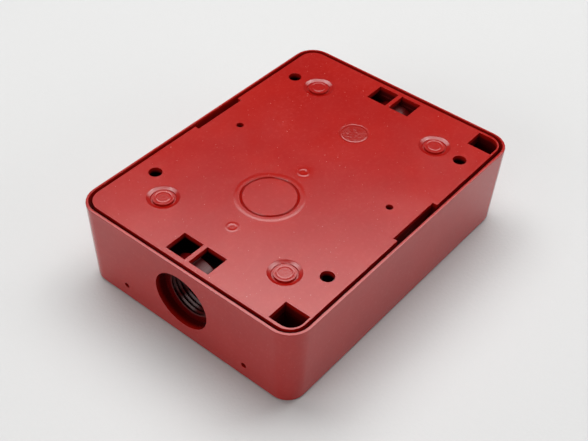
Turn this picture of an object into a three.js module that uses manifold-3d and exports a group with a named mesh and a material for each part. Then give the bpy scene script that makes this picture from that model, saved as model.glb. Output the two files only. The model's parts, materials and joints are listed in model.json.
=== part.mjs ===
// Horn strobe in its surface back box. Millimetres, +Z up.
// The unit lies face down: the front rim of the box is the plane z = 0, and its wall side is z = BOX_DEPTH.
// +X runs along the box's long side. The two conduit hubs are on the short sides.

import * as THREE from 'three';
import { mergeVertices } from 'three/addons/utils/BufferGeometryUtils.js';
import Module from 'manifold-3d';

const wasm = await Module();
wasm.setup();

// ---- driving dimensions -------------------------------------------------------------------------

// CUT is how far a cutting body runs past the face it opens. GAP is the clearance between two pieces.
const CUT = 1;
const GAP = 0.3;

const BOX_LENGTH = 138;
const BOX_WIDTH = 104.4;
const BOX_DEPTH = 37;
const BOX_CORNER = 9.2;
const BOX_TAPER = 1.5;
const BOX_SHOULDER = 36.55;
const BOX_WALL = 5.3;
const BACK_PLATE = 2.4;
const REBATE_DEPTH = 5;
const REBATE_WALL = 3.3;

const GROOVE_OUTER = 1;
const GROOVE_INNER = 2.6;
const GROOVE_DEPTH = 9;
const GROOVE_DRAFT = 0.5;
const GROOVE_BRIDGE_X = [60, 70];
const NOTCH_CENTRE = 5;
const NOTCH_LENGTH = 25.4;
const NOTCH_INNER_Y = 47.7;

const DEVICE_SPACING = 83.3;
const DEVICE_CENTRE_X = 3.7;
const DEVICE_HOLE_RADIUS = 2.75;
const DEVICE_HOLE_DEPTH = 7;
const PILOT_Y = 37;
const PILOT_RADIUS = 1.5;
const PILOT_DEPTH = 12;
const PILOT_BOSS_RADIUS = 3.4;
const PILOT_BOSS_HEIGHT = 4;

const KNOCKOUT_X = 46.1;
const KNOCKOUT_Y = 29.4;
const KNOCKOUT_BUTTON = 4.2;
const KNOCKOUT_DISH = 6.4;
const KNOCKOUT_MOAT = 0.6;
const KNOCKOUT_DEPTH = 0.9;
const KNOCKOUT_SLOPE_INNER = 0.6;
const KNOCKOUT_SLOPE_OUTER = 0.15;
const REAR_ENTRY_X = -19.8;
const REAR_ENTRY_RADIUS = 11.4;
const SCORE_WIDTH = 1.1;
const SCORE_DEPTH = 0.8;

const SLOT_INNER_X = 54.5;
const SLOT_OUTER_X = 64.3;
const SLOT_INNER_Y = 0.9;
const SLOT_OUTER_Y = 10.2;
const POCKET_INNER_X = 56.2;
const POCKET_OUTER_X = 65.3;
const POCKET_INNER_Y = 38.3;
const POCKET_OUTER_Y = 48.9;
const POCKET_CORNER = 5.3;
const POCKET_DEPTH = 14;
const POCKET_WALL = 1.4;

const HUB_Z = 19.3;
const HUB_RADIUS = 13.8;
const HUB_END_X = 56.5;
const HUB_CHAMFER = 0.9;
const HUB_TOP = HUB_Z + HUB_RADIUS;
const ENTRY_RADIUS = 12.5;
const ENTRY_FLOOR_X = 63.5;
const THREAD_PITCH = 25.4 / 14;
const THREAD_TURNS = 4;
const THREAD_CREST = 9.65;
const THREAD_ROOT = 10.6;
const WEEP_HOLE_Y = 29.4;
const WEEP_HOLE_Z = 6.8;
const WEEP_HOLE_RADIUS = 1.2;
const WEEP_HOLE_REACH = 4;
const WEEP_HOLE_INSET = 3;

const PLUG_NOSE_X = HUB_END_X + 0.8;
const PLUG_HEAD_X = ENTRY_FLOOR_X + 1.4;
const PLUG_FACE_X = ENTRY_FLOOR_X + 4.2;
const PLUG_HEAD_RADIUS = ENTRY_RADIUS - 0.4;
const PLUG_EDGE = 0.5;
const PLUG_SLOT_WIDTH = 2.2;
const PLUG_SLOT_LENGTH = 18;
const PLUG_SLOT_DEPTH = 1.4;
const SEAL_THICKNESS = 0.8;

const POST_X = 59.2;
const POST_Y = 42.4;
const POST_RADIUS = 4.9;
const POST_HOLE_DEPTH = 11;
const SCREW_HOLE_RADIUS = 1.65;
const SCREW_RECESS_RADIUS = 3.1;
const SCREW_RECESS_FLOOR = 2.5;

const COVER_FRONT = 0.5;
const COVER_BACK = 3.2;
const COVER_CLEARANCE = 0.4;
const COVER_EDGE = 0.6;
const COVER_BOSS_RADIUS = 3.8;
const STANDOFF_X = 49;
const STANDOFF_Y = 37;
const STANDOFF_RADIUS = 3.2;
const STANDOFF_BORE_RADIUS = 1.2;
const STANDOFF_BORE_Z = 9;
const LENS_X = 29;
const LENS_LENGTH = 46;
const LENS_WIDTH = 60;
const LENS_CORNER = 4.7;
const LENS_WALL = 1.5;
const LENS_FACE = [0.3, 1.9];
const LENS_FLANGE = 3;
const LENS_BACK = COVER_BACK + 1.3;
const LENS_RIB_PITCH = 4.4;
const REFLECTOR_FRONT = 4.8;
const REFLECTOR_APEX = 14.6;
const REFLECTOR_HALF_WIDTH = 19;
const REFLECTOR_HALF_LENGTH = 24;
const TUBE_Z = 10.6;
const TUBE_RADIUS = 2;
const TUBE_HALF_LENGTH = 28;
const ELECTRODE_END = 30.6;
const ELECTRODE_LEG_RADIUS = 0.6;

const SOUNDER_X = -31;
const SOUNDER_RADIUS = 21;
const SOUNDER_FRONT = COVER_BACK + GAP;
const SOUNDER_BACK = 15.8;
const SOUNDER_STEP = 9;
const SOUNDER_SEAT_RADIUS = 19.6;
const SOUNDER_CAVITY_RADIUS = 17.6;
const SOUNDER_DISC_RADIUS = SOUNDER_SEAT_RADIUS - GAP;
const SOUNDER_WALL = 1.4;
const SOUNDER_VENT_RADIUS = 1.2;
const THROAT_FRONT = 4;
const THROAT_BACK = 6.2;
const THROAT_RADIUS = 4;
const THROAT_MOUTH_RADIUS = 7;
const THROAT_PORT_CIRCLE = 12.5;
const THROAT_PORT_RADIUS = 1.6;
const CLAMP_RING = [6.5, 8.1];
const DIAPHRAGM = [8.4, 8.7];
const CERAMIC_DISC = [9, 9.4];
const CERAMIC_RADIUS = 11;
const GRILLE_RADIUS = 19;
const GRILLE_PITCH = 6;
const GRILLE_SLOT_WIDTH = 3;
const GRILLE_SLOT_CORNER = 1.4;

const BOARD_FRONT = 17.2;
const BOARD_BACK = 18.8;
const BOARD_LENGTH = 106.8;
const BOARD_WIDTH = 83;
const BOARD_HOLE_RADIUS = 1.3;
const BOARD_TOP = BOARD_BACK + GAP;
const UNDER_BOARD = BOARD_FRONT - GAP;
const TERMINAL_X = 27;
const TERMINAL_PITCH = 10;
const TERMINAL_POLES = 4;
const TERMINAL_HALF_DEPTH = 6;
const TERMINAL_TOP = 24;
const TERMINAL_BARRIER_TOP = 29.5;
const TERMINAL_BARRIER_HALF = 0.6;
const TERMINAL_HOLE_RADIUS = 1.6;
const CLAMP_FLOOR = TERMINAL_TOP + GAP;
const CLAMP_TOP = TERMINAL_TOP + 1.1;
const CLAMP_LIP_TOP = 26;

const CAPACITOR_AT = [-13, 34.6, 11.4];
const TRANSFORMER_AT = [20, 36, 0];
const TRIGGER_COIL_AT = [12, -36, 0];
const CHIP_AT = [-6, 18, 0];
const CANDELA_AT = [-6, -31, 0];
const TONE_AT = [-32, -31, 0];
const SWITCH_TOP = 24;

const RED = { color: 0x9c1a14, roughness: 0.42, metalness: 0 };
const CLEAR = { color: 0xe8eef0, roughness: 0.08, metalness: 0 };
const MIRROR = { color: 0xd8dadc, roughness: 0.12, metalness: 1 };
const BLACK = { color: 0x17181a, roughness: 0.55, metalness: 0 };
const FOAM = { color: 0x2b2c2e, roughness: 0.95, metalness: 0 };
const STEEL = { color: 0xb9bcc0, roughness: 0.32, metalness: 1 };
const BRASS = { color: 0xc9a455, roughness: 0.3, metalness: 1 };
const CERAMIC = { color: 0xe6e2d6, roughness: 0.6, metalness: 0 };
const BOARD_BLACK = { color: 0x1c1716, roughness: 0.45, metalness: 0 };
const WHITE = { color: 0xe9e9e4, roughness: 0.5, metalness: 0 };
const FERRITE = { color: 0x3a3936, roughness: 0.7, metalness: 0 };
const COPPER = { color: 0xb5683c, roughness: 0.35, metalness: 1 };
const CAPACITOR_BLUE = { color: 0x1c2b52, roughness: 0.4, metalness: 0 };

// ---- solids -------------------------------------------------------------------------------------

function signedVolume(positions, index) {
  const a = new THREE.Vector3();
  const b = new THREE.Vector3();
  const c = new THREE.Vector3();
  let total = 0;
  for (let i = 0; i < index.count; i += 3) {
    a.fromBufferAttribute(positions, index.getX(i));
    b.fromBufferAttribute(positions, index.getX(i + 1));
    c.fromBufferAttribute(positions, index.getX(i + 2));
    total += a.dot(b.cross(c)) / 6;
  }
  return total;
}

function solid(source) {
  const bare = source.clone();
  bare.deleteAttribute('normal');
  bare.deleteAttribute('uv');
  const merged = mergeVertices(bare, 1e-4);
  const triangles = Uint32Array.from(merged.index.array);
  if (signedVolume(merged.attributes.position, merged.index) < 0) {
    triangles.reverse();
  }
  const vertProperties = Float32Array.from(merged.attributes.position.array);
  const mesh = new wasm.Mesh({ numProp: 3, vertProperties, triVerts: triangles });
  mesh.merge();
  return new wasm.Manifold(mesh);
}

function geometryOf(body) {
  const mesh = body.getMesh();
  const geometry = new THREE.BufferGeometry();
  geometry.setAttribute('position', new THREE.BufferAttribute(mesh.vertProperties, 3));
  geometry.setIndex(new THREE.BufferAttribute(mesh.triVerts, 1));
  geometry.computeVertexNormals();
  return geometry;
}

function union(bodies) {
  return bodies.reduce((sum, body) => sum.add(body));
}

function block([x0, x1], [y0, y1], [z0, z1]) {
  const geometry = new THREE.BoxGeometry(x1 - x0, y1 - y0, z1 - z0);
  geometry.translate((x0 + x1) / 2, (y0 + y1) / 2, (z0 + z1) / 2);
  return solid(geometry);
}

// A round bar along Z.
function rod(radius, [z0, z1], x = 0, y = 0, sides = 16) {
  const geometry = new THREE.CylinderGeometry(radius, radius, z1 - z0, sides);
  geometry.rotateX(Math.PI / 2);
  geometry.translate(x, y, (z0 + z1) / 2);
  return solid(geometry);
}

// A turned shape about Z: the profile lists [radius, z].
function turned(profile, sides = 32) {
  const points = profile.map(([radius, z]) => new THREE.Vector2(radius, z));
  const geometry = new THREE.LatheGeometry(points, sides);
  geometry.rotateX(Math.PI / 2);
  return solid(geometry);
}

// Turns a body made about Z so that its axis is X at the hub's height. The side is +1 or -1.
function alongHub(body, side) {
  return body.rotate([0, 90 * side, 0]).translate([0, 0, HUB_Z]);
}

// The corners are arcs of equal steps, so that outlines of different size have matching points.
function roundedPoints(length, width, corner, steps = 5) {
  const points = [];
  [[1, -1], [1, 1], [-1, 1], [-1, -1]].forEach(([sideX, sideY], quarter) => {
    for (let step = 0; step <= steps; step += 1) {
      const angle = ((quarter - 1 + step / steps) * Math.PI) / 2;
      const x = sideX * (length / 2 - corner) + corner * Math.cos(angle);
      const y = sideY * (width / 2 - corner) + corner * Math.sin(angle);
      points.push(new THREE.Vector2(x, y));
    }
  });
  return points;
}

function roundedRectangle(length, width, corner, steps) {
  return new THREE.Shape(roundedPoints(length, width, corner, steps));
}

function slab(shape, [z0, z1], curveSegments = 5) {
  const depth = z1 - z0;
  const geometry = new THREE.ExtrudeGeometry(shape, { depth, bevelEnabled: false, curveSegments });
  geometry.translate(0, 0, z0);
  return solid(geometry);
}

// The box's own outline, moved inward by inset.
function boxPoints(inset, steps) {
  return roundedPoints(BOX_LENGTH - 2 * inset, BOX_WIDTH - 2 * inset, BOX_CORNER - inset, steps);
}

function boxOutline(inset) {
  return new THREE.Shape(boxPoints(inset));
}

// The side walls lean in toward the front rim: how far they stand inside the widest outline at a height.
function taperAt(z) {
  return (BOX_TAPER * (BOX_SHOULDER - z)) / BOX_SHOULDER;
}

// A solid through box outlines stacked in height: each level is [z, inset].
function stackedOutlines(levels) {
  const rings = levels.map(([z, inset]) => {
    return boxPoints(inset, 7).map((point) => new THREE.Vector3(point.x, point.y, z));
  });
  const count = rings[0].length;
  const bottom = rings.length * count;
  const ends = [levels[0], levels.at(-1)].map(([z]) => new THREE.Vector3(0, 0, z));
  const index = [];
  for (let i = 0; i < count; i += 1) {
    const next = (i + 1) % count;
    for (let ring = 0; ring < rings.length - 1; ring += 1) {
      const low = ring * count;
      const high = low + count;
      index.push(low + i, low + next, high + next, low + i, high + next, high + i);
    }
    const top = (rings.length - 1) * count;
    index.push(bottom, next, i, bottom + 1, top + i, top + next);
  }
  const geometry = new THREE.BufferGeometry().setFromPoints([...rings.flat(), ...ends]);
  geometry.setIndex(index);
  return solid(geometry);
}

function ordered(a, b) {
  return [Math.min(a, b), Math.max(a, b)];
}

function fourCorners(x, y) {
  return [[x, y], [-x, y], [-x, -y], [x, -y]];
}

const assembly = new THREE.Group();

function addPart(name, body, look) {
  const mesh = new THREE.Mesh(geometryOf(body), new THREE.MeshStandardMaterial(look));
  mesh.name = name;
  assembly.add(mesh);
}

// ---- back box -----------------------------------------------------------------------------------

function boxBlank() {
  return stackedOutlines([
    [0, BOX_TAPER + 0.9],
    [0.27, taperAt(0.27) + 0.27],
    [0.9, taperAt(0.9)],
    [BOX_SHOULDER, 0],
    [BOX_DEPTH - 0.13, 0.13],
    [BOX_DEPTH, 0.45],
  ]);
}

function hubBlank(side) {
  const profile = [
    [0, HUB_END_X],
    [HUB_RADIUS - HUB_CHAMFER, HUB_END_X],
    [HUB_RADIUS, HUB_END_X + HUB_CHAMFER],
    [HUB_RADIUS, BOX_LENGTH / 2],
    [0, BOX_LENGTH / 2],
  ];
  return alongHub(turned(profile, 28), side);
}

function pocketBlock(side) {
  const x = ordered(side * (POCKET_INNER_X - POCKET_WALL), (side * BOX_LENGTH) / 2);
  const y = [-BOX_WIDTH / 2, -POCKET_INNER_Y + POCKET_WALL];
  return block(x, y, [BOX_DEPTH - POCKET_DEPTH - POCKET_WALL, BOX_DEPTH]);
}

function screwPost([x, y]) {
  return rod(POST_RADIUS, [REBATE_DEPTH, BOX_DEPTH], x, y);
}

function pilotBoss(side) {
  const root = BOX_DEPTH - BACK_PLATE - PILOT_BOSS_HEIGHT;
  return rod(PILOT_BOSS_RADIUS, [root, BOX_DEPTH], NOTCH_CENTRE, side * PILOT_Y);
}

// Everything that is empty inside the box: the front rebate and the wiring space, less what stands in them.
function boxHollow() {
  const rebate = slab(boxOutline(REBATE_WALL), [-CUT, REBATE_DEPTH]);
  const space = slab(boxOutline(BOX_WALL), [0, BOX_DEPTH - BACK_PLATE]);
  const standing = fourCorners(POST_X, POST_Y).map(screwPost);
  for (const side of [1, -1]) {
    standing.push(pilotBoss(side), hubBlank(side), pocketBlock(side));
  }
  return rebate.add(space).subtract(union(standing));
}

// The narrow groove around the back plate, shallower where it crosses a conduit hub.
function perimeterGroove() {
  const floor = BOX_DEPTH - GROOVE_DEPTH;
  const outer = stackedOutlines([[floor, GROOVE_OUTER + GROOVE_DRAFT], [BOX_DEPTH + CUT, GROOVE_OUTER]]);
  const inner = stackedOutlines([[floor - CUT, GROOVE_INNER], [BOX_DEPTH + 2 * CUT, GROOVE_INNER]]);
  const halfBridge = HUB_RADIUS + 2;
  const bridges = [1, -1].map((side) => {
    const x = ordered(side * GROOVE_BRIDGE_X[0], side * GROOVE_BRIDGE_X[1]);
    return block(x, [-halfBridge, halfBridge], [floor - CUT, HUB_TOP + 0.5]);
  });
  return outer.subtract(inner).subtract(union(bridges));
}

function notch(side) {
  const y = ordered(side * NOTCH_INNER_Y, side * (BOX_WIDTH / 2 - GROOVE_INNER + 0.4));
  const x = [NOTCH_CENTRE - NOTCH_LENGTH / 2, NOTCH_CENTRE + NOTCH_LENGTH / 2];
  return block(x, y, [BOX_DEPTH - GROOVE_DEPTH, BOX_DEPTH + CUT]);
}

function slots() {
  const cuts = [];
  for (const [sx, sy] of fourCorners(1, 1)) {
    const x = ordered(sx * SLOT_INNER_X, sx * SLOT_OUTER_X);
    const y = ordered(sy * SLOT_INNER_Y, sy * SLOT_OUTER_Y);
    cuts.push(block(x, y, [HUB_TOP + 0.25, BOX_DEPTH + CUT]));
  }
  return union(cuts);
}

// A blind pocket in a corner: two straight sides and the box's own round corner.
function cornerPocket(side) {
  const arcX = POCKET_OUTER_X - POCKET_CORNER;
  const arcY = POCKET_OUTER_Y - POCKET_CORNER;
  const shape = new THREE.Shape();
  shape.moveTo(POCKET_INNER_X, -POCKET_INNER_Y);
  shape.lineTo(POCKET_INNER_X, -POCKET_OUTER_Y);
  shape.lineTo(arcX, -POCKET_OUTER_Y);
  shape.absarc(arcX, -arcY, POCKET_CORNER, -Math.PI / 2, 0, false);
  shape.lineTo(POCKET_OUTER_X, -POCKET_INNER_Y);
  const pocket = slab(shape, [BOX_DEPTH - POCKET_DEPTH, BOX_DEPTH + CUT]);
  return side > 0 ? pocket : pocket.mirror([1, 0, 0]);
}

// The shallow dish around a mounting knockout's button: a narrow moat, a slope and a small lip.
function knockoutDish(x, y) {
  const moat = KNOCKOUT_BUTTON + KNOCKOUT_MOAT;
  const profile = [
    [KNOCKOUT_BUTTON, BOX_DEPTH + CUT],
    [KNOCKOUT_BUTTON, BOX_DEPTH - KNOCKOUT_DEPTH],
    [moat, BOX_DEPTH - KNOCKOUT_DEPTH],
    [moat + 0.2, BOX_DEPTH - KNOCKOUT_SLOPE_INNER],
    [KNOCKOUT_DISH - 0.2, BOX_DEPTH - KNOCKOUT_SLOPE_OUTER],
    [KNOCKOUT_DISH, BOX_DEPTH],
    [KNOCKOUT_DISH, BOX_DEPTH + CUT],
    [KNOCKOUT_BUTTON, BOX_DEPTH + CUT],
  ];
  return turned(profile, 20).translate([x, y, 0]);
}

function rearEntryScore() {
  const inner = REAR_ENTRY_RADIUS - SCORE_WIDTH;
  const profile = [
    [inner, BOX_DEPTH + CUT],
    [inner, BOX_DEPTH],
    [inner + SCORE_WIDTH / 2, BOX_DEPTH - SCORE_DEPTH],
    [REAR_ENTRY_RADIUS, BOX_DEPTH],
    [REAR_ENTRY_RADIUS, BOX_DEPTH + CUT],
    [inner, BOX_DEPTH + CUT],
  ];
  return turned(profile, 30).translate([REAR_ENTRY_X, 0, 0]);
}

// The conduit entry: a smooth counterbore, then thread rings down to the hub's inner end.
function conduitBore(side) {
  const profile = [[0, BOX_LENGTH / 2 + CUT], [ENTRY_RADIUS, BOX_LENGTH / 2 + CUT]];
  profile.push([ENTRY_RADIUS, ENTRY_FLOOR_X], [THREAD_ROOT, ENTRY_FLOOR_X]);
  for (let turn = 0; turn < THREAD_TURNS; turn += 1) {
    const crest = ENTRY_FLOOR_X - THREAD_PITCH * (turn + 0.25);
    profile.push([THREAD_CREST, crest], [THREAD_ROOT, crest - THREAD_PITCH / 2]);
  }
  profile.push([THREAD_ROOT, HUB_END_X - CUT], [0, HUB_END_X - CUT]);
  return alongHub(turned(profile, 28), side);
}

function weepHole(x, y) {
  const bore = rod(WEEP_HOLE_RADIUS, [-WEEP_HOLE_REACH, WEEP_HOLE_REACH], 0, 0, 10).rotate([0, 90, 0]);
  return bore.translate([x, y, WEEP_HOLE_Z]);
}

function deviceHole([x, y]) {
  return rod(DEVICE_HOLE_RADIUS, [BOX_DEPTH - DEVICE_HOLE_DEPTH, BOX_DEPTH + CUT], DEVICE_CENTRE_X + x, y);
}

function postHole([x, y]) {
  return rod(SCREW_HOLE_RADIUS, [REBATE_DEPTH - CUT, REBATE_DEPTH + POST_HOLE_DEPTH], x, y, 12);
}

function pilotHole(side) {
  return rod(PILOT_RADIUS, [BOX_DEPTH - PILOT_DEPTH, BOX_DEPTH + CUT], NOTCH_CENTRE, side * PILOT_Y, 12);
}

function backBox() {
  const cuts = [boxHollow(), perimeterGroove(), slots(), rearEntryScore()];
  cuts.push(...fourCorners(DEVICE_SPACING / 2, DEVICE_SPACING / 2).map(deviceHole));
  cuts.push(...fourCorners(KNOCKOUT_X, KNOCKOUT_Y).map(([x, y]) => knockoutDish(x, y)));
  cuts.push(...fourCorners(BOX_LENGTH / 2 - WEEP_HOLE_INSET, WEEP_HOLE_Y).map(([x, y]) => weepHole(x, y)));
  cuts.push(...fourCorners(POST_X, POST_Y).map(postHole));
  for (const side of [1, -1]) {
    cuts.push(notch(side), cornerPocket(side), conduitBore(side), pilotHole(side));
  }
  return boxBlank().subtract(union(cuts));
}

// ---- conduit closure ----------------------------------------------------------------------------

function closurePlug() {
  const shank = THREAD_CREST - GAP;
  const profile = [
    [0, PLUG_NOSE_X],
    [shank - PLUG_EDGE, PLUG_NOSE_X],
    [shank, PLUG_NOSE_X + PLUG_EDGE],
    [shank, PLUG_HEAD_X],
    [PLUG_HEAD_RADIUS, PLUG_HEAD_X],
    [PLUG_HEAD_RADIUS, PLUG_FACE_X - PLUG_EDGE],
    [PLUG_HEAD_RADIUS - PLUG_EDGE, PLUG_FACE_X],
    [0, PLUG_FACE_X],
  ];
  const across = [-PLUG_SLOT_WIDTH / 2, PLUG_SLOT_WIDTH / 2];
  const along = [-PLUG_SLOT_LENGTH / 2, PLUG_SLOT_LENGTH / 2];
  const slot = block(across, along, [PLUG_FACE_X - PLUG_SLOT_DEPTH, PLUG_FACE_X + CUT]);
  return alongHub(turned(profile, 28).subtract(slot), 1);
}

function plugSeal() {
  const inner = THREAD_ROOT + 0.1;
  const outer = ENTRY_RADIUS - 0.35;
  const floor = ENTRY_FLOOR_X + GAP;
  const top = floor + SEAL_THICKNESS;
  const profile = [[inner, floor], [outer, floor], [outer, top], [inner, top], [inner, floor]];
  return alongHub(turned(profile, 28), 1);
}

// ---- front cover, seal and screws ---------------------------------------------------------------

function grilleSlots() {
  const cuts = [];
  for (let row = -3; row <= 3; row += 1) {
    const y = row * GRILLE_PITCH;
    const length = 2 * Math.sqrt(GRILLE_RADIUS ** 2 - y ** 2);
    const shape = roundedRectangle(length, GRILLE_SLOT_WIDTH, GRILLE_SLOT_CORNER, 2);
    cuts.push(slab(shape, [COVER_FRONT - CUT, COVER_BACK + CUT]).translate([SOUNDER_X, y, 0]));
  }
  return union(cuts);
}

function lensWindow() {
  const shape = roundedRectangle(LENS_LENGTH + 2 * GAP, LENS_WIDTH + 2 * GAP, LENS_CORNER + GAP);
  return slab(shape, [-CUT, COVER_BACK + CUT]).translate([LENS_X, 0, 0]);
}

function frontCover() {
  const edge = REBATE_WALL + COVER_CLEARANCE;
  const levels = [[COVER_FRONT, edge + COVER_EDGE], [COVER_FRONT + COVER_EDGE, edge], [COVER_BACK, edge]];
  const bodies = [stackedOutlines(levels)];
  const cuts = [lensWindow(), grilleSlots()];
  for (const [x, y] of fourCorners(POST_X, POST_Y)) {
    bodies.push(rod(COVER_BOSS_RADIUS, [COVER_FRONT + CUT, REBATE_DEPTH - GAP], x, y));
    cuts.push(rod(SCREW_RECESS_RADIUS, [-CUT, SCREW_RECESS_FLOOR], x, y));
    cuts.push(rod(SCREW_HOLE_RADIUS, [-CUT, REBATE_DEPTH + CUT], x, y, 12));
  }
  for (const [x, y] of fourCorners(STANDOFF_X, STANDOFF_Y)) {
    bodies.push(rod(STANDOFF_RADIUS, [COVER_FRONT + CUT, UNDER_BOARD], x, y));
    cuts.push(rod(STANDOFF_BORE_RADIUS, [STANDOFF_BORE_Z, BOARD_BACK], x, y, 10));
  }
  return union(bodies).subtract(union(cuts));
}

function frontGasket() {
  const outer = slab(boxOutline(REBATE_WALL + GAP), [COVER_BACK + GAP, REBATE_DEPTH - GAP]);
  const inner = slab(boxOutline(BOX_WALL - 0.1), [0, REBATE_DEPTH + CUT]);
  return outer.subtract(inner);
}

function coverScrew(x, y) {
  const head = [[0, 0.7], [2.5, 0.7], [2.8, 1], [2.8, 2.2]];
  const shank = [[1.3, 2.2], [1.3, 13.4], [0.7, 14.4], [0, 14.4]];
  const recess = rod(1.35, [0, 1.6], 0, 0, 6);
  return turned([...head, ...shank], 12).subtract(recess).translate([x, y, 0]);
}

// ---- strobe -------------------------------------------------------------------------------------

function lensRibs() {
  const halfLength = LENS_WIDTH / 2 - 1;
  const ribs = [];
  for (let row = -4; row <= 4; row += 1) {
    const x = row * LENS_RIB_PITCH;
    ribs.push(block([x - 0.5, x + 0.5], [-halfLength, halfLength], [LENS_FACE[1] - 0.4, LENS_FACE[1] + 0.6]));
  }
  return union(ribs);
}

// A shallow tray with a flange behind the cover and refracting ribs inside its face.
function strobeLens() {
  const flangeShape = roundedRectangle(LENS_LENGTH + 2 * LENS_FLANGE, LENS_WIDTH + 2 * LENS_FLANGE, 3);
  const flange = slab(flangeShape, [COVER_BACK + GAP, LENS_BACK]);
  const face = slab(roundedRectangle(LENS_LENGTH, LENS_WIDTH, LENS_CORNER), [LENS_FACE[0], LENS_BACK]);
  const inside = [LENS_LENGTH - 2 * LENS_WALL, LENS_WIDTH - 2 * LENS_WALL, LENS_CORNER - LENS_WALL];
  const hollow = slab(roundedRectangle(...inside), [LENS_FACE[1], LENS_BACK + CUT]);
  return flange.add(face).subtract(hollow).add(lensRibs()).translate([LENS_X, 0, 0]);
}

// The area under a parabola that is open toward the front, in x and z.
function parabolaShape(halfWidth, frontZ, apexZ) {
  const shape = new THREE.Shape();
  const steps = 10;
  shape.moveTo(-halfWidth, frontZ);
  for (let i = 1; i <= steps; i += 1) {
    const x = -halfWidth + (2 * halfWidth * i) / steps;
    shape.lineTo(x, apexZ - (apexZ - frontZ) * (x / halfWidth) ** 2);
  }
  return shape;
}

function trough(shape, halfLength) {
  const geometry = new THREE.ExtrudeGeometry(shape, { depth: 2 * halfLength, bevelEnabled: false });
  geometry.translate(0, 0, -halfLength);
  geometry.rotateX(Math.PI / 2);
  return solid(geometry);
}

function strobeReflector() {
  const flangeShape = roundedRectangle(LENS_LENGTH, LENS_WIDTH, 3);
  const flange = slab(flangeShape, [REFLECTOR_FRONT, REFLECTOR_FRONT + 0.9]);
  const outerShape = parabolaShape(REFLECTOR_HALF_WIDTH + 1.2, REFLECTOR_FRONT, REFLECTOR_APEX + 1);
  const innerShape = parabolaShape(REFLECTOR_HALF_WIDTH, REFLECTOR_FRONT - CUT, REFLECTOR_APEX);
  const outside = trough(outerShape, REFLECTOR_HALF_LENGTH + 1);
  const inside = trough(innerShape, REFLECTOR_HALF_LENGTH);
  const tubeHole = alongY(TUBE_RADIUS + GAP, [-TUBE_HALF_LENGTH - 2, TUBE_HALF_LENGTH + 2]);
  return flange.add(outside).subtract(inside).subtract(tubeHole).translate([LENS_X, 0, 0]);
}

// A round bar along Y on the flash tube's axis.
function alongY(radius, [y0, y1]) {
  return rod(radius, [y0, y1], 0, 0, 20).rotate([-90, 0, 0]).translate([0, 0, TUBE_Z]);
}

function flashTube() {
  return alongY(TUBE_RADIUS, [-TUBE_HALF_LENGTH, TUBE_HALF_LENGTH]).translate([LENS_X, 0, 0]);
}

// A metal end cap on the tube, with the leg that goes down to the board.
function flashElectrode(side) {
  const capStart = TUBE_HALF_LENGTH + GAP;
  const cap = alongY(TUBE_RADIUS, ordered(side * capStart, side * ELECTRODE_END));
  const legY = (side * (capStart + ELECTRODE_END)) / 2;
  const leg = rod(ELECTRODE_LEG_RADIUS, [TUBE_Z, UNDER_BOARD], 0, legY, 10);
  return cap.add(leg).translate([LENS_X, 0, 0]);
}

// ---- sounder ------------------------------------------------------------------------------------

function sounderHousing() {
  const profile = [
    [SOUNDER_VENT_RADIUS, SOUNDER_BACK],
    [SOUNDER_RADIUS - 0.8, SOUNDER_BACK],
    [SOUNDER_RADIUS, SOUNDER_BACK - 0.8],
    [SOUNDER_RADIUS, SOUNDER_FRONT],
    [SOUNDER_SEAT_RADIUS, SOUNDER_FRONT],
    [SOUNDER_SEAT_RADIUS, SOUNDER_STEP],
    [SOUNDER_CAVITY_RADIUS, SOUNDER_STEP],
    [SOUNDER_CAVITY_RADIUS, SOUNDER_BACK - SOUNDER_WALL],
    [SOUNDER_VENT_RADIUS, SOUNDER_BACK - SOUNDER_WALL],
    [SOUNDER_VENT_RADIUS, SOUNDER_BACK],
  ];
  return turned(profile, 28).translate([SOUNDER_X, 0, 0]);
}

function sounderRing(inner, outer, [z0, z1]) {
  const profile = [[inner, z0], [outer, z0], [outer, z1], [inner, z1], [inner, z0]];
  return turned(profile, 28).translate([SOUNDER_X, 0, 0]);
}

// The baffle in front of the diaphragm: a flared centre port with six small ports around it.
function sounderThroat() {
  const profile = [
    [THROAT_RADIUS, THROAT_BACK],
    [SOUNDER_DISC_RADIUS, THROAT_BACK],
    [SOUNDER_DISC_RADIUS, THROAT_FRONT],
    [THROAT_MOUTH_RADIUS, THROAT_FRONT],
    [THROAT_RADIUS, THROAT_BACK],
  ];
  const ports = [];
  for (let i = 0; i < 6; i += 1) {
    const angle = (i * Math.PI) / 3;
    const x = THROAT_PORT_CIRCLE * Math.cos(angle);
    const y = THROAT_PORT_CIRCLE * Math.sin(angle);
    ports.push(rod(THROAT_PORT_RADIUS, [THROAT_FRONT - CUT, THROAT_BACK + CUT], x, y, 8));
  }
  return turned(profile, 28).subtract(union(ports)).translate([SOUNDER_X, 0, 0]);
}

// ---- circuit board and what is soldered to it ---------------------------------------------------

function circuitBoard() {
  const plate = slab(roundedRectangle(BOARD_LENGTH, BOARD_WIDTH, 2, 3), [BOARD_FRONT, BOARD_BACK]);
  const holes = fourCorners(STANDOFF_X, STANDOFF_Y).map(([x, y]) => {
    return rod(BOARD_HOLE_RADIUS, [BOARD_FRONT - CUT, BOARD_BACK + CUT], x, y, 10);
  });
  return plate.subtract(union(holes));
}

function boardScrew(x, y) {
  const profile = [[0, 9.6], [0.9, 10.4], [0.9, 19.1], [2.3, 19.1], [2.3, 20], [1.7, 20.6], [0, 20.6]];
  const slot = block([-0.35, 0.35], [-1.6, 1.6], [20, 21]);
  return turned(profile, 10).subtract(slot).translate([x, y, 0]);
}

function flashCapacitor() {
  const profile = [[0, -15], [4.7, -15], [5.2, -14.5], [5.2, 14.5], [4.7, 15], [0, 15]];
  return turned(profile, 18).rotate([0, 90, 0]).translate(CAPACITOR_AT);
}

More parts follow.
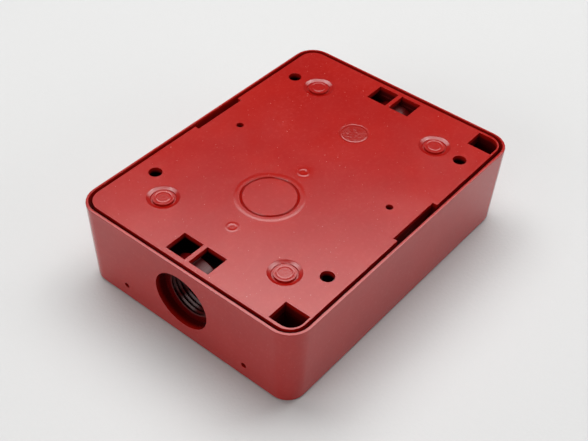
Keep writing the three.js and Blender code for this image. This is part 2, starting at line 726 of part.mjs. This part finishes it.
function transformerCore() {
  const frame = block([-7, 7], [-5, 5], [6.4, UNDER_BOARD]);
  const openings = [block([-4.8, -2.2], [-6, 6], [8.6, 14.6]), block([2.2, 4.8], [-6, 6], [8.6, 14.6])];
  return frame.subtract(union(openings)).translate(TRANSFORMER_AT);
}

// The winding stands out on both faces of the core and passes through its two openings.
function transformerWinding() {
  const outside = block([-4.5, 4.5], [-5.8, 5.8], [8.9, 14.3]);
  const centre = block([-2.5, 2.5], [-5.3, 5.3], [8, 15]);
  return outside.subtract(centre).translate(TRANSFORMER_AT);
}

function triggerCoil() {
  const front = 8.4;
  const profile = [
    [0, front],
    [2.2, front],
    [2.2, front + 1],
    [4.2, front + 1],
    [4.2, UNDER_BOARD - 1],
    [3, UNDER_BOARD - 1],
    [3, UNDER_BOARD],
    [0, UNDER_BOARD],
  ];
  return turned(profile, 14).translate(TRIGGER_COIL_AT);
}

function poleY(pole) {
  return (pole - (TERMINAL_POLES - 1) / 2) * TERMINAL_PITCH;
}

function terminalBlock() {
  const depth = [-TERMINAL_HALF_DEPTH, TERMINAL_HALF_DEPTH];
  const half = (TERMINAL_POLES * TERMINAL_PITCH) / 2 + TERMINAL_BARRIER_HALF;
  const bodies = [block(depth, [-half, half], [BOARD_TOP, TERMINAL_TOP])];
  for (let wall = 0; wall <= TERMINAL_POLES; wall += 1) {
    const y = (wall - TERMINAL_POLES / 2) * TERMINAL_PITCH;
    const thickness = [y - TERMINAL_BARRIER_HALF, y + TERMINAL_BARRIER_HALF];
    bodies.push(block(depth, thickness, [TERMINAL_TOP - CUT, TERMINAL_BARRIER_TOP]));
  }
  const holes = [];
  for (let pole = 0; pole < TERMINAL_POLES; pole += 1) {
    holes.push(rod(TERMINAL_HOLE_RADIUS, [20.4, TERMINAL_TOP + CUT], 0, poleY(pole), 8));
  }
  return union(bodies).subtract(union(holes)).translate([TERMINAL_X, 0, 0]);
}

// A square wire clamp with its two ends turned up.
function terminalClamp(pole) {
  const width = [-3.4, 3.4];
  const plate = block([-3.8, 3.8], width, [CLAMP_FLOOR, CLAMP_TOP]);
  const lips = [
    block([-3.8, -3], width, [CLAMP_FLOOR, CLAMP_LIP_TOP]),
    block([3, 3.8], width, [CLAMP_FLOOR, CLAMP_LIP_TOP]),
  ];
  const hole = rod(TERMINAL_HOLE_RADIUS, [CLAMP_FLOOR - CUT, CLAMP_TOP + CUT], 0, 0, 8);
  return plate.add(union(lips)).subtract(hole).translate([TERMINAL_X, poleY(pole), 0]);
}

function terminalScrew(pole) {
  const profile = [[0, 21], [1.25, 21.6], [1.25, 25.5], [2.6, 25.5], [2.6, 27], [2.1, 27.6], [0, 27.6]];
  const slot = block([-0.4, 0.4], [-2.8, 2.8], [26.6, 28]);
  return turned(profile, 12).subtract(slot).translate([TERMINAL_X, poleY(pole), 0]);
}

function candelaSwitchBody() {
  const shell = block([-9, 9], [-3.6, 3.6], [BOARD_TOP, SWITCH_TOP]);
  const track = block([-6.6, 6.6], [-1.3, 1.3], [22, SWITCH_TOP + CUT]);
  return shell.subtract(track).translate(CANDELA_AT);
}

function candelaSlider() {
  const foot = block([-2.2, 2.2], [-1, 1], [22.3, 25]);
  const knob = block([-1.5, 1.5], [-1, 1], [24.5, 26.6]);
  return foot.add(knob).translate(CANDELA_AT);
}

function toneSwitchBody() {
  const shell = block([-5, 5], [-5, 5], [BOARD_TOP, SWITCH_TOP]);
  return shell.subtract(rod(3.9, [21.4, SWITCH_TOP + CUT], 0, 0, 18)).translate(TONE_AT);
}

function toneDial() {
  const wheel = rod(3.6, [21.7, 24.4], 0, 0, 18);
  const slot = block([-0.5, 0.5], [-2.8, 2.8], [23.6, 25]);
  const mark = block([-0.3, 0.3], [2.9, 4], [24, 25]);
  return wheel.subtract(slot).subtract(mark).translate(TONE_AT);
}

function controllerChip() {
  const body = block([-6, 6], [-4, 4], [BOARD_TOP, BOARD_TOP + 1.6]);
  const pinOneDimple = rod(0.7, [BOARD_TOP + 1.2, BOARD_TOP + 2], -4.4, 2.6, 10);
  return body.subtract(pinOneDimple).translate(CHIP_AT);
}

// ---- assembly -----------------------------------------------------------------------------------

addPart('back_box', backBox(), RED);
addPart('closure_plug', closurePlug(), RED);
addPart('plug_seal', plugSeal(), FOAM);

addPart('front_cover', frontCover(), RED);
addPart('front_gasket', frontGasket(), FOAM);
fourCorners(POST_X, POST_Y).forEach(([x, y], i) => {
  addPart(`cover_screw_${i + 1}`, coverScrew(x, y), STEEL);
});

addPart('strobe_lens', strobeLens(), CLEAR);
addPart('strobe_reflector', strobeReflector(), MIRROR);
addPart('flash_tube', flashTube(), CLEAR);
addPart('flash_electrode_1', flashElectrode(1), STEEL);
addPart('flash_electrode_2', flashElectrode(-1), STEEL);

addPart('sounder_housing', sounderHousing(), BLACK);
addPart('sounder_throat', sounderThroat(), BLACK);
addPart('sounder_clamp_ring', sounderRing(SOUNDER_CAVITY_RADIUS, SOUNDER_DISC_RADIUS, CLAMP_RING), BLACK);
addPart('sounder_diaphragm', sounderRing(0, SOUNDER_DISC_RADIUS, DIAPHRAGM), BRASS);
addPart('sounder_ceramic', sounderRing(0, CERAMIC_RADIUS, CERAMIC_DISC), CERAMIC);

addPart('circuit_board', circuitBoard(), BOARD_BLACK);
fourCorners(STANDOFF_X, STANDOFF_Y).forEach(([x, y], i) => {
  addPart(`board_screw_${i + 1}`, boardScrew(x, y), STEEL);
});
addPart('flash_capacitor', flashCapacitor(), CAPACITOR_BLUE);
addPart('transformer_core', transformerCore(), FERRITE);
addPart('transformer_winding', transformerWinding(), COPPER);
addPart('trigger_coil', triggerCoil(), BLACK);
addPart('controller_chip', controllerChip(), BLACK);

addPart('terminal_block', terminalBlock(), BLACK);
for (let pole = 0; pole < TERMINAL_POLES; pole += 1) {
  addPart(`terminal_clamp_${pole + 1}`, terminalClamp(pole), STEEL);
  addPart(`terminal_screw_${pole + 1}`, terminalScrew(pole), STEEL);
}
addPart('candela_switch_body', candelaSwitchBody(), BLACK);
addPart('candela_slider', candelaSlider(), WHITE);
addPart('tone_switch_body', toneSwitchBody(), BLACK);
addPart('tone_dial', toneDial(), WHITE);

export default assembly;
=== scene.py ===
# A horn strobe in its red surface back box, lying face down on a pale floor. Metres, +Z up, in the CAD frame.
import json
import math

import bpy
from mathutils import Matrix, Vector


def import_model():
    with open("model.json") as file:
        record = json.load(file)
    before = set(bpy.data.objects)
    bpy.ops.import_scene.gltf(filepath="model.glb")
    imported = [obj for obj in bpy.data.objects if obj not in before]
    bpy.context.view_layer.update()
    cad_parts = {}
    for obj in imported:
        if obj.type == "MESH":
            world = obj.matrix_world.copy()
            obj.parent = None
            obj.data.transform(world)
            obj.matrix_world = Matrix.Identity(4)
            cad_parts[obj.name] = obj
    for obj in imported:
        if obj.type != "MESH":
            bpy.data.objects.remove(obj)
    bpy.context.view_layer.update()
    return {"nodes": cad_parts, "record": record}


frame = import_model()
nodes = frame["nodes"]

MM = 0.001

# Places on the back plate, and the housing's outline, in millimetres.
BACK_Z = 37.0
SHOULDER_Z = 36.55
WALL_LEAN = 1.5
CORNER_RADIUS = 9.2
CORNER_CENTRE = (59.8, 43.0, 0)
GATE_MARKS = ((-0.6, -0.5, 1.9, 5.5), (-41.1, -0.5, 1.9, 3.0))
INSERT_MARK = (31.1, -0.8)
KNOCKOUTS = ((46.1, 29.4), (-46.1, 29.4), (-46.1, -29.4), (46.1, -29.4))
REAR_ENTRY = (-19.8, 0)

FLOOR_HALF = 6.0
FLOOR_DROP = 0.00004
IMAGE_WIDTH = 588
FOCAL_LENGTH = 1030.6
SENSOR_WIDTH = 36


# ---- node helpers ----------------------------------------------------------------------------


class Graph:
    """A small builder for one procedural material."""

    def __init__(self, name):
        self.material = bpy.data.materials.new(name)
        self.material.use_nodes = True
        self.tree = self.material.node_tree
        self.tree.nodes.clear()
        self.output = self.tree.nodes.new("ShaderNodeOutputMaterial")
        self.shader = self.tree.nodes.new("ShaderNodeBsdfPrincipled")
        self.tree.links.new(self.shader.outputs[0], self.output.inputs[0])
        self.place = self.tree.nodes.new("ShaderNodeTexCoord").outputs["Object"]

    def feed(self, socket, value):
        if isinstance(value, bpy.types.NodeSocket):
            self.tree.links.new(value, socket)
        else:
            socket.default_value = value

    def node(self, kind, inputs=(), **settings):
        made = self.tree.nodes.new("ShaderNode" + kind)
        for key, value in settings.items():
            setattr(made, key, value)
        for key, value in dict(inputs).items():
            self.feed(made.inputs[key], value)
        return made

    def math(self, operation, a, b=0.0, c=0.0, clamp=False):
        made = self.node("Math", {0: a, 1: b, 2: c}, operation=operation, use_clamp=clamp)
        return made.outputs[0]

    def noise(self, scale, detail=4.0, roughness=0.55, vector=None, distortion=0.0):
        inputs = {
            "Vector": self.place if vector is None else vector,
            "Scale": scale,
            "Detail": detail,
            "Roughness": roughness,
            "Distortion": distortion,
        }
        return self.node("TexNoise", inputs).outputs["Fac"]

    def steps(self, value, low, high, to_low=0.0, to_high=1.0):
        """value from low to high becomes to_low to to_high, smoothly and clamped."""
        inputs = {0: value, 1: low, 2: high, 3: to_low, 4: to_high}
        return self.node("MapRange", inputs, interpolation_type="SMOOTHSTEP").outputs[0]

    def mix(self, factor, a, b):
        inputs = {0: factor, 6: a, 7: b}
        return self.node("Mix", inputs, data_type="RGBA").outputs[2]

    def mix_value(self, factor, a, b):
        return self.node("Mix", {0: factor, 2: a, 3: b}, data_type="FLOAT").outputs[0]

    def bump(self, height, distance, strength=1.0, normal=None):
        inputs = {"Height": height, "Distance": distance, "Strength": strength}
        if normal is not None:
            inputs["Normal"] = normal
        return self.node("Bump", inputs).outputs[0]

    def finish(self, colour=None, roughness=None, normal=None, **sockets):
        given = {"Base Color": colour, "Roughness": roughness, "Normal": normal}
        for key, value in given.items():
            if value is not None:
                self.feed(self.shader.inputs[key], value)
        for key, value in sockets.items():
            self.feed(self.shader.inputs[key.replace("_", " ")], value)
        return self.material


def rgb(r, g, b):
    """A linear colour from 0-255 display values."""
    channels = []
    for value in (r, g, b):
        share = value / 255
        channels.append(share / 12.92 if value <= 10 else ((share + 0.055) / 1.055) ** 2.4)
    return (*channels, 1.0)


# ---- materials -------------------------------------------------------------------------------


def flat_distance(g, x, y):
    """Distance on the plate from the point (x, y), in millimetres."""
    level = g.node("VectorMath", {0: g.place, 1: (1000, 1000, 0)}, operation="MULTIPLY").outputs[0]
    return g.node("VectorMath", {0: level, 1: (x, y, 0)}, operation="DISTANCE").outputs["Value"]


def ring(g, distance, radius, half_width):
    """1 on a circle of that radius, falling to 0 half_width either side."""
    away = g.math("ABSOLUTE", g.math("SUBTRACT", distance, radius))
    return g.steps(away, 0.0, half_width, 1.0, 0.0)


def wall_depth(g, z):
    """How far a point is inside the housing's leaning side walls, in millimetres."""
    level = g.node("VectorMath", {0: g.place, 1: (1000, 1000, 0)}, operation="MULTIPLY").outputs[0]
    folded = g.node("VectorMath", {0: level}, operation="ABSOLUTE").outputs[0]
    past = g.node("VectorMath", {0: folded, 1: CORNER_CENTRE}, operation="SUBTRACT").outputs[0]
    clipped = g.node("VectorMath", {0: past, 1: (0, 0, 0)}, operation="MAXIMUM").outputs[0]
    reach = g.node("VectorMath", {0: clipped}, operation="LENGTH").outputs["Value"]
    lean = g.math("MULTIPLY", g.math("SUBTRACT", SHOULDER_Z, z), WALL_LEAN / SHOULDER_Z)
    return g.math("SUBTRACT", g.math("SUBTRACT", CORNER_RADIUS, reach), lean)


def red_plastic():
    g = Graph("moulded_red")
    z = g.math("MULTIPLY", g.node("SeparateXYZ", {0: g.place}).outputs[2], 1000)
    top = g.steps(z, 36.6, 36.8)
    faces = g.math("MINIMUM", g.math("SUBTRACT", BACK_Z, z), g.math("SUBTRACT", z, 0.3))
    buried = g.math("MINIMUM", wall_depth(g, z), faces)
    # How deep a point lies inside a recess. This drives the painted shade and the dimmed reflections below.
    recess = g.steps(buried, 0.25, 2.6)
    broad = g.noise(28, 5, 0.6)
    cloudy = g.noise(95, 6, 0.62, distortion=0.6)
    mottle = g.noise(620, 3, 0.6)
    colour = g.mix(g.steps(broad, 0.35, 0.68), rgb(148, 10, 3), rgb(155, 17, 7))
    smudges = g.steps(cloudy, 0.54, 0.76, 0.0, 0.16)
    colour = g.mix(smudges, colour, rgb(170, 48, 42))
    specks = g.steps(g.noise(1350, 1, 0.5), 0.755, 0.785)
    dust = g.math("MULTIPLY", specks, g.math("MULTIPLY_ADD", top, 0.4, 0.12))
    colour = g.mix(dust, colour, rgb(222, 170, 160))
    colour = g.mix(g.steps(mottle, 0.5, 0.72, 0.0, 0.12), colour, rgb(186, 66, 58))
    # Painted light: below the back plate the side walls are mixed 12% towards a bright red, which lightens
    # them as if they were lit more strongly.
    colour = g.mix(g.math("MULTIPLY_ADD", top, -0.12, 0.12), colour, rgb(235, 30, 20))
    roughness = g.steps(g.noise(42, 4, 0.6, distortion=0.4), 0.3, 0.75, 0.14, 0.19)
    roughness = g.math("ADD", roughness, g.math("MULTIPLY", mottle, 0.05))
    grain = g.math("MULTIPLY", g.noise(5200, 2), 0.3)
    height = g.math("ADD", grain, g.math("MULTIPLY", mottle, 0.5))
    for x, y, radius, halo in GATE_MARKS:
        away = flat_distance(g, x, y)
        gate = g.math("MULTIPLY", ring(g, away, radius, 1.0), top)
        height = g.math("ADD", height, g.math("MULTIPLY", gate, 1.3))
        stain = g.math("MULTIPLY", g.steps(away, 0.6, halo, 0.55, 0.0), top)
        roughness = g.math("SUBTRACT", roughness, g.math("MULTIPLY", stain, 0.16))
    away = flat_distance(g, *INSERT_MARK)
    insert = g.math("MULTIPLY", ring(g, away, 5.6, 0.8), top)
    inside = g.math("MULTIPLY", g.steps(away, 5.0, 5.5, 1.0, 0.0), top)
    height = g.math("SUBTRACT", height, g.math("MULTIPLY", insert, 1.2))
    rough_floor = g.math("MULTIPLY", g.noise(900, 2), 2.6)
    height = g.math("ADD", height, g.math("MULTIPLY", inside, rough_floor))
    marked = g.math("MULTIPLY", g.math("MAXIMUM", insert, inside), 0.35)
    colour = g.mix(marked, colour, rgb(120, 18, 12))
    # Painted shade: a darker deep-red band is mixed into the sloped dish round each knockout button. The
    # crown ring only dents the bump.
    dish = g.steps(z, 35.7, 36.0, 0.0, 0.55)
    for x, y in KNOCKOUTS:
        centre = flat_distance(g, x, y)
        crown = g.math("MULTIPLY", ring(g, centre, 2.9, 0.6), top)
        dish_shade = g.math("MULTIPLY", ring(g, centre, 5.6, 1.3), dish)
        colour = g.mix(dish_shade, colour, rgb(132, 4, 1))
        height = g.math("SUBTRACT", height, g.math("MULTIPLY", crown, 1.6))
    collar = g.math("MULTIPLY", g.steps(flat_distance(g, *REAR_ENTRY), 12.3, 13.8, 1.0, 0.0), top)
    height = g.math("ADD", height, g.math("MULTIPLY", collar, 2.0))
    # Painted shade: inside recesses (bore, slots, groove, notches) the colour turns towards a near-black red
    # with depth.
    colour = g.mix(g.math("MULTIPLY", recess, 0.9), colour, rgb(58, 2, 4))
    shaded = g.steps(z, 32.0, 33.0, 0.2, 0.42)
    roughness = g.mix_value(recess, roughness, shaded)
    # Painted shade on reflections: the specular level drops from 0.5 to 0.2 inside recesses, which dims their
    # reflections.
    sheen = g.mix_value(recess, 0.5, 0.2)
    return g.finish(colour, roughness, g.bump(height, 0.00005), IOR=1.5, Specular_IOR_Level=sheen)


def plain(name, base, other, roughness, scale=300, grain=3000, depth=0.00003, **sockets):
    """A moulded or rolled surface: two close colours, uneven roughness and a fine grain."""
    g = Graph(name)
    patches = g.noise(scale, 4)
    colour = g.mix(g.steps(patches, 0.35, 0.7), rgb(*base), rgb(*other))
    rough = g.steps(patches, 0.3, 0.75, roughness - 0.05, roughness + 0.08)
    normal = g.bump(g.noise(grain, 2), depth)
    return g.finish(colour, rough, normal, **sockets)


def clear(name, tint, roughness):
    g = Graph(name)
    patches = g.noise(260, 3)
    rough = g.steps(patches, 0.3, 0.8, roughness, roughness + 0.05)
    normal = g.bump(g.noise(900, 2), 0.00001)
    return g.finish(rgb(*tint), rough, normal, IOR=1.58, **{"Transmission Weight": 1.0})


MATERIALS = {
    "red_housing": red_plastic(),
    "seal_foam": plain("seal_foam", (30, 30, 31), (48, 48, 50), 0.9, 900, 2600, 0.0002),
    "zinc_steel": plain(
        "zinc_steel", (168, 170, 172), (140, 143, 148), 0.32, 700, 4000, 0.00001, Metallic=1.0
    ),
    "clear_lens": clear("clear_lens", (236, 242, 244), 0.04),
    "bright_reflector": plain(
        "bright_reflector", (226, 228, 230), (214, 217, 221), 0.1, 200, 1500, 0.000004, Metallic=1.0
    ),
    "black_plastic": plain("black_plastic", (26, 26, 28), (38, 38, 40), 0.48),
    "brass_sheet": plain(
        "brass_sheet", (205, 172, 104), (184, 148, 84), 0.28, 500, 4000, 0.000006, Metallic=1.0
    ),
    "white_ceramic": plain("white_ceramic", (224, 220, 206), (208, 203, 188), 0.55, 600),
    "board_laminate": plain("board_laminate", (30, 24, 23), (22, 18, 17), 0.4, 420, 2500, 0.00002),
    "capacitor_sleeve": plain("capacitor_sleeve", (30, 44, 88), (24, 36, 74), 0.3, 350),
    "ferrite": plain("ferrite", (58, 57, 54), (44, 43, 41), 0.72, 800, 2200, 0.00006),
    "winding_tape": plain("winding_tape", (206, 160, 48), (190, 142, 36), 0.4, 500),
    "white_plastic": plain("white_plastic", (228, 228, 224), (216, 216, 211), 0.42, 400),
}


def paint(obj, material):
    obj.data.materials.clear()
    obj.data.materials.append(material)


def soften(obj, width, segments=2, angle=28):
    """Merges the node's split corners, rounds its sharp edges and shades it smoothly."""
    weld = obj.modifiers.new("weld", "WELD")
    weld.merge_threshold = 2e-6
    flat = obj.modifiers.new("flat", "DECIMATE")
    flat.decimate_type = "DISSOLVE"
    flat.angle_limit = math.radians(0.6)
    edge = obj.modifiers.new("edge", "BEVEL")
    edge.width = width
    edge.segments = segments
    edge.limit_method = "ANGLE"
    edge.angle_limit = math.radians(angle)
    edge.use_clamp_overlap = True
    even = obj.modifiers.new("even", "WEIGHTED_NORMAL")
    even.keep_sharp = False
    even.weight = 80


for entry in frame["record"]["subparts"]:
    node = nodes[entry["node"]]
    paint(node, MATERIALS[entry["material_slot"]])
    for polygon in node.data.polygons:
        polygon.use_smooth = True
    soften(node, 0.00025 if entry["node"] in ("back_box", "front_cover") else 0.00012)


# ---- floor, light and camera ------------------------------------------------------------------


def floor():
    mesh = bpy.data.meshes.new("floor")
    half = FLOOR_HALF
    corners = [(-half, -half, 0), (half, -half, 0), (half, half, 0), (-half, half, 0)]
    mesh.from_pydata(corners, [], [(0, 1, 2, 3)])
    made = bpy.data.objects.new("floor", mesh)
    made.location.z = -FLOOR_DROP
    bpy.context.scene.collection.objects.link(made)
    g = Graph("pale_floor")
    shade = g.noise(3, 3)
    colour = g.mix(shade, rgb(196, 196, 195), rgb(193, 193, 193))
    paint(made, g.finish(colour, 0.7, g.bump(g.noise(700, 2), 0.0001)))


def area_light(name, place, size, power):
    data = bpy.data.lights.new(name, "AREA")
    data.shape = "RECTANGLE"
    data.size, data.size_y = size
    data.energy = power
    made = bpy.data.objects.new(name, data)
    made.location = place
    made.rotation_mode = "QUATERNION"
    made.rotation_quaternion = (-place).to_track_quat("-Z", "Y")
    bpy.context.scene.collection.objects.link(made)


def world(strength):
    made = bpy.data.worlds.new("studio")
    bpy.context.scene.world = made
    made.use_nodes = True
    background = made.node_tree.nodes["Background"]
    background.inputs[0].default_value = (1.0, 1.0, 1.0, 1)
    background.inputs[1].default_value = strength


def panel(name, azimuth, elevation, span, radiance, distance=1.5):
    """A soft panel aimed at the object. Its azimuth is from +X, and its angles and span are in degrees."""
    a, e = math.radians(azimuth), math.radians(elevation)
    towards = Vector((math.cos(a) * math.cos(e), math.sin(a) * math.cos(e), math.sin(e)))
    place = towards * distance
    size = [2 * distance * math.tan(math.radians(angle) / 2) for angle in span]
    power = radiance * math.pi * size[0] * size[1]
    area_light(name, place, size, power)


def camera():
    data = bpy.data.cameras.new("camera")
    data.sensor_width = SENSOR_WIDTH
    data.lens = FOCAL_LENGTH / IMAGE_WIDTH * SENSOR_WIDTH
    made = bpy.data.objects.new("camera", data)
    right = Vector((0.6372, -0.7702, 0.0280))
    up = Vector((0.5143, 0.4520, 0.7289))
    back = -Vector((0.5740, 0.4501, -0.6841))
    turn = Matrix((right, up, back)).transposed()
    made.rotation_mode = "QUATERNION"
    made.rotation_quaternion = turn.to_quaternion()
    made.location = Vector((-238.7, -183.5, 293.0)) * MM
    data.clip_start = 0.01
    data.clip_end = 50
    bpy.context.scene.collection.objects.link(made)
    bpy.context.scene.camera = made


bpy.context.scene.view_settings.view_transform = "Standard"
floor()
world(0.13)
panel("sky_panel", 38, 67.5, (56, 40), 4.8)
panel("right_strip", -22, 52, (20, 26), 3.6)
panel("far_strip", 100, 58, (20, 24), 3.2)
panel("left_panel", 174, 26, (46, 22), 3.4)
panel("front_panel", 290, 20, (46, 22), 2.1)
camera()
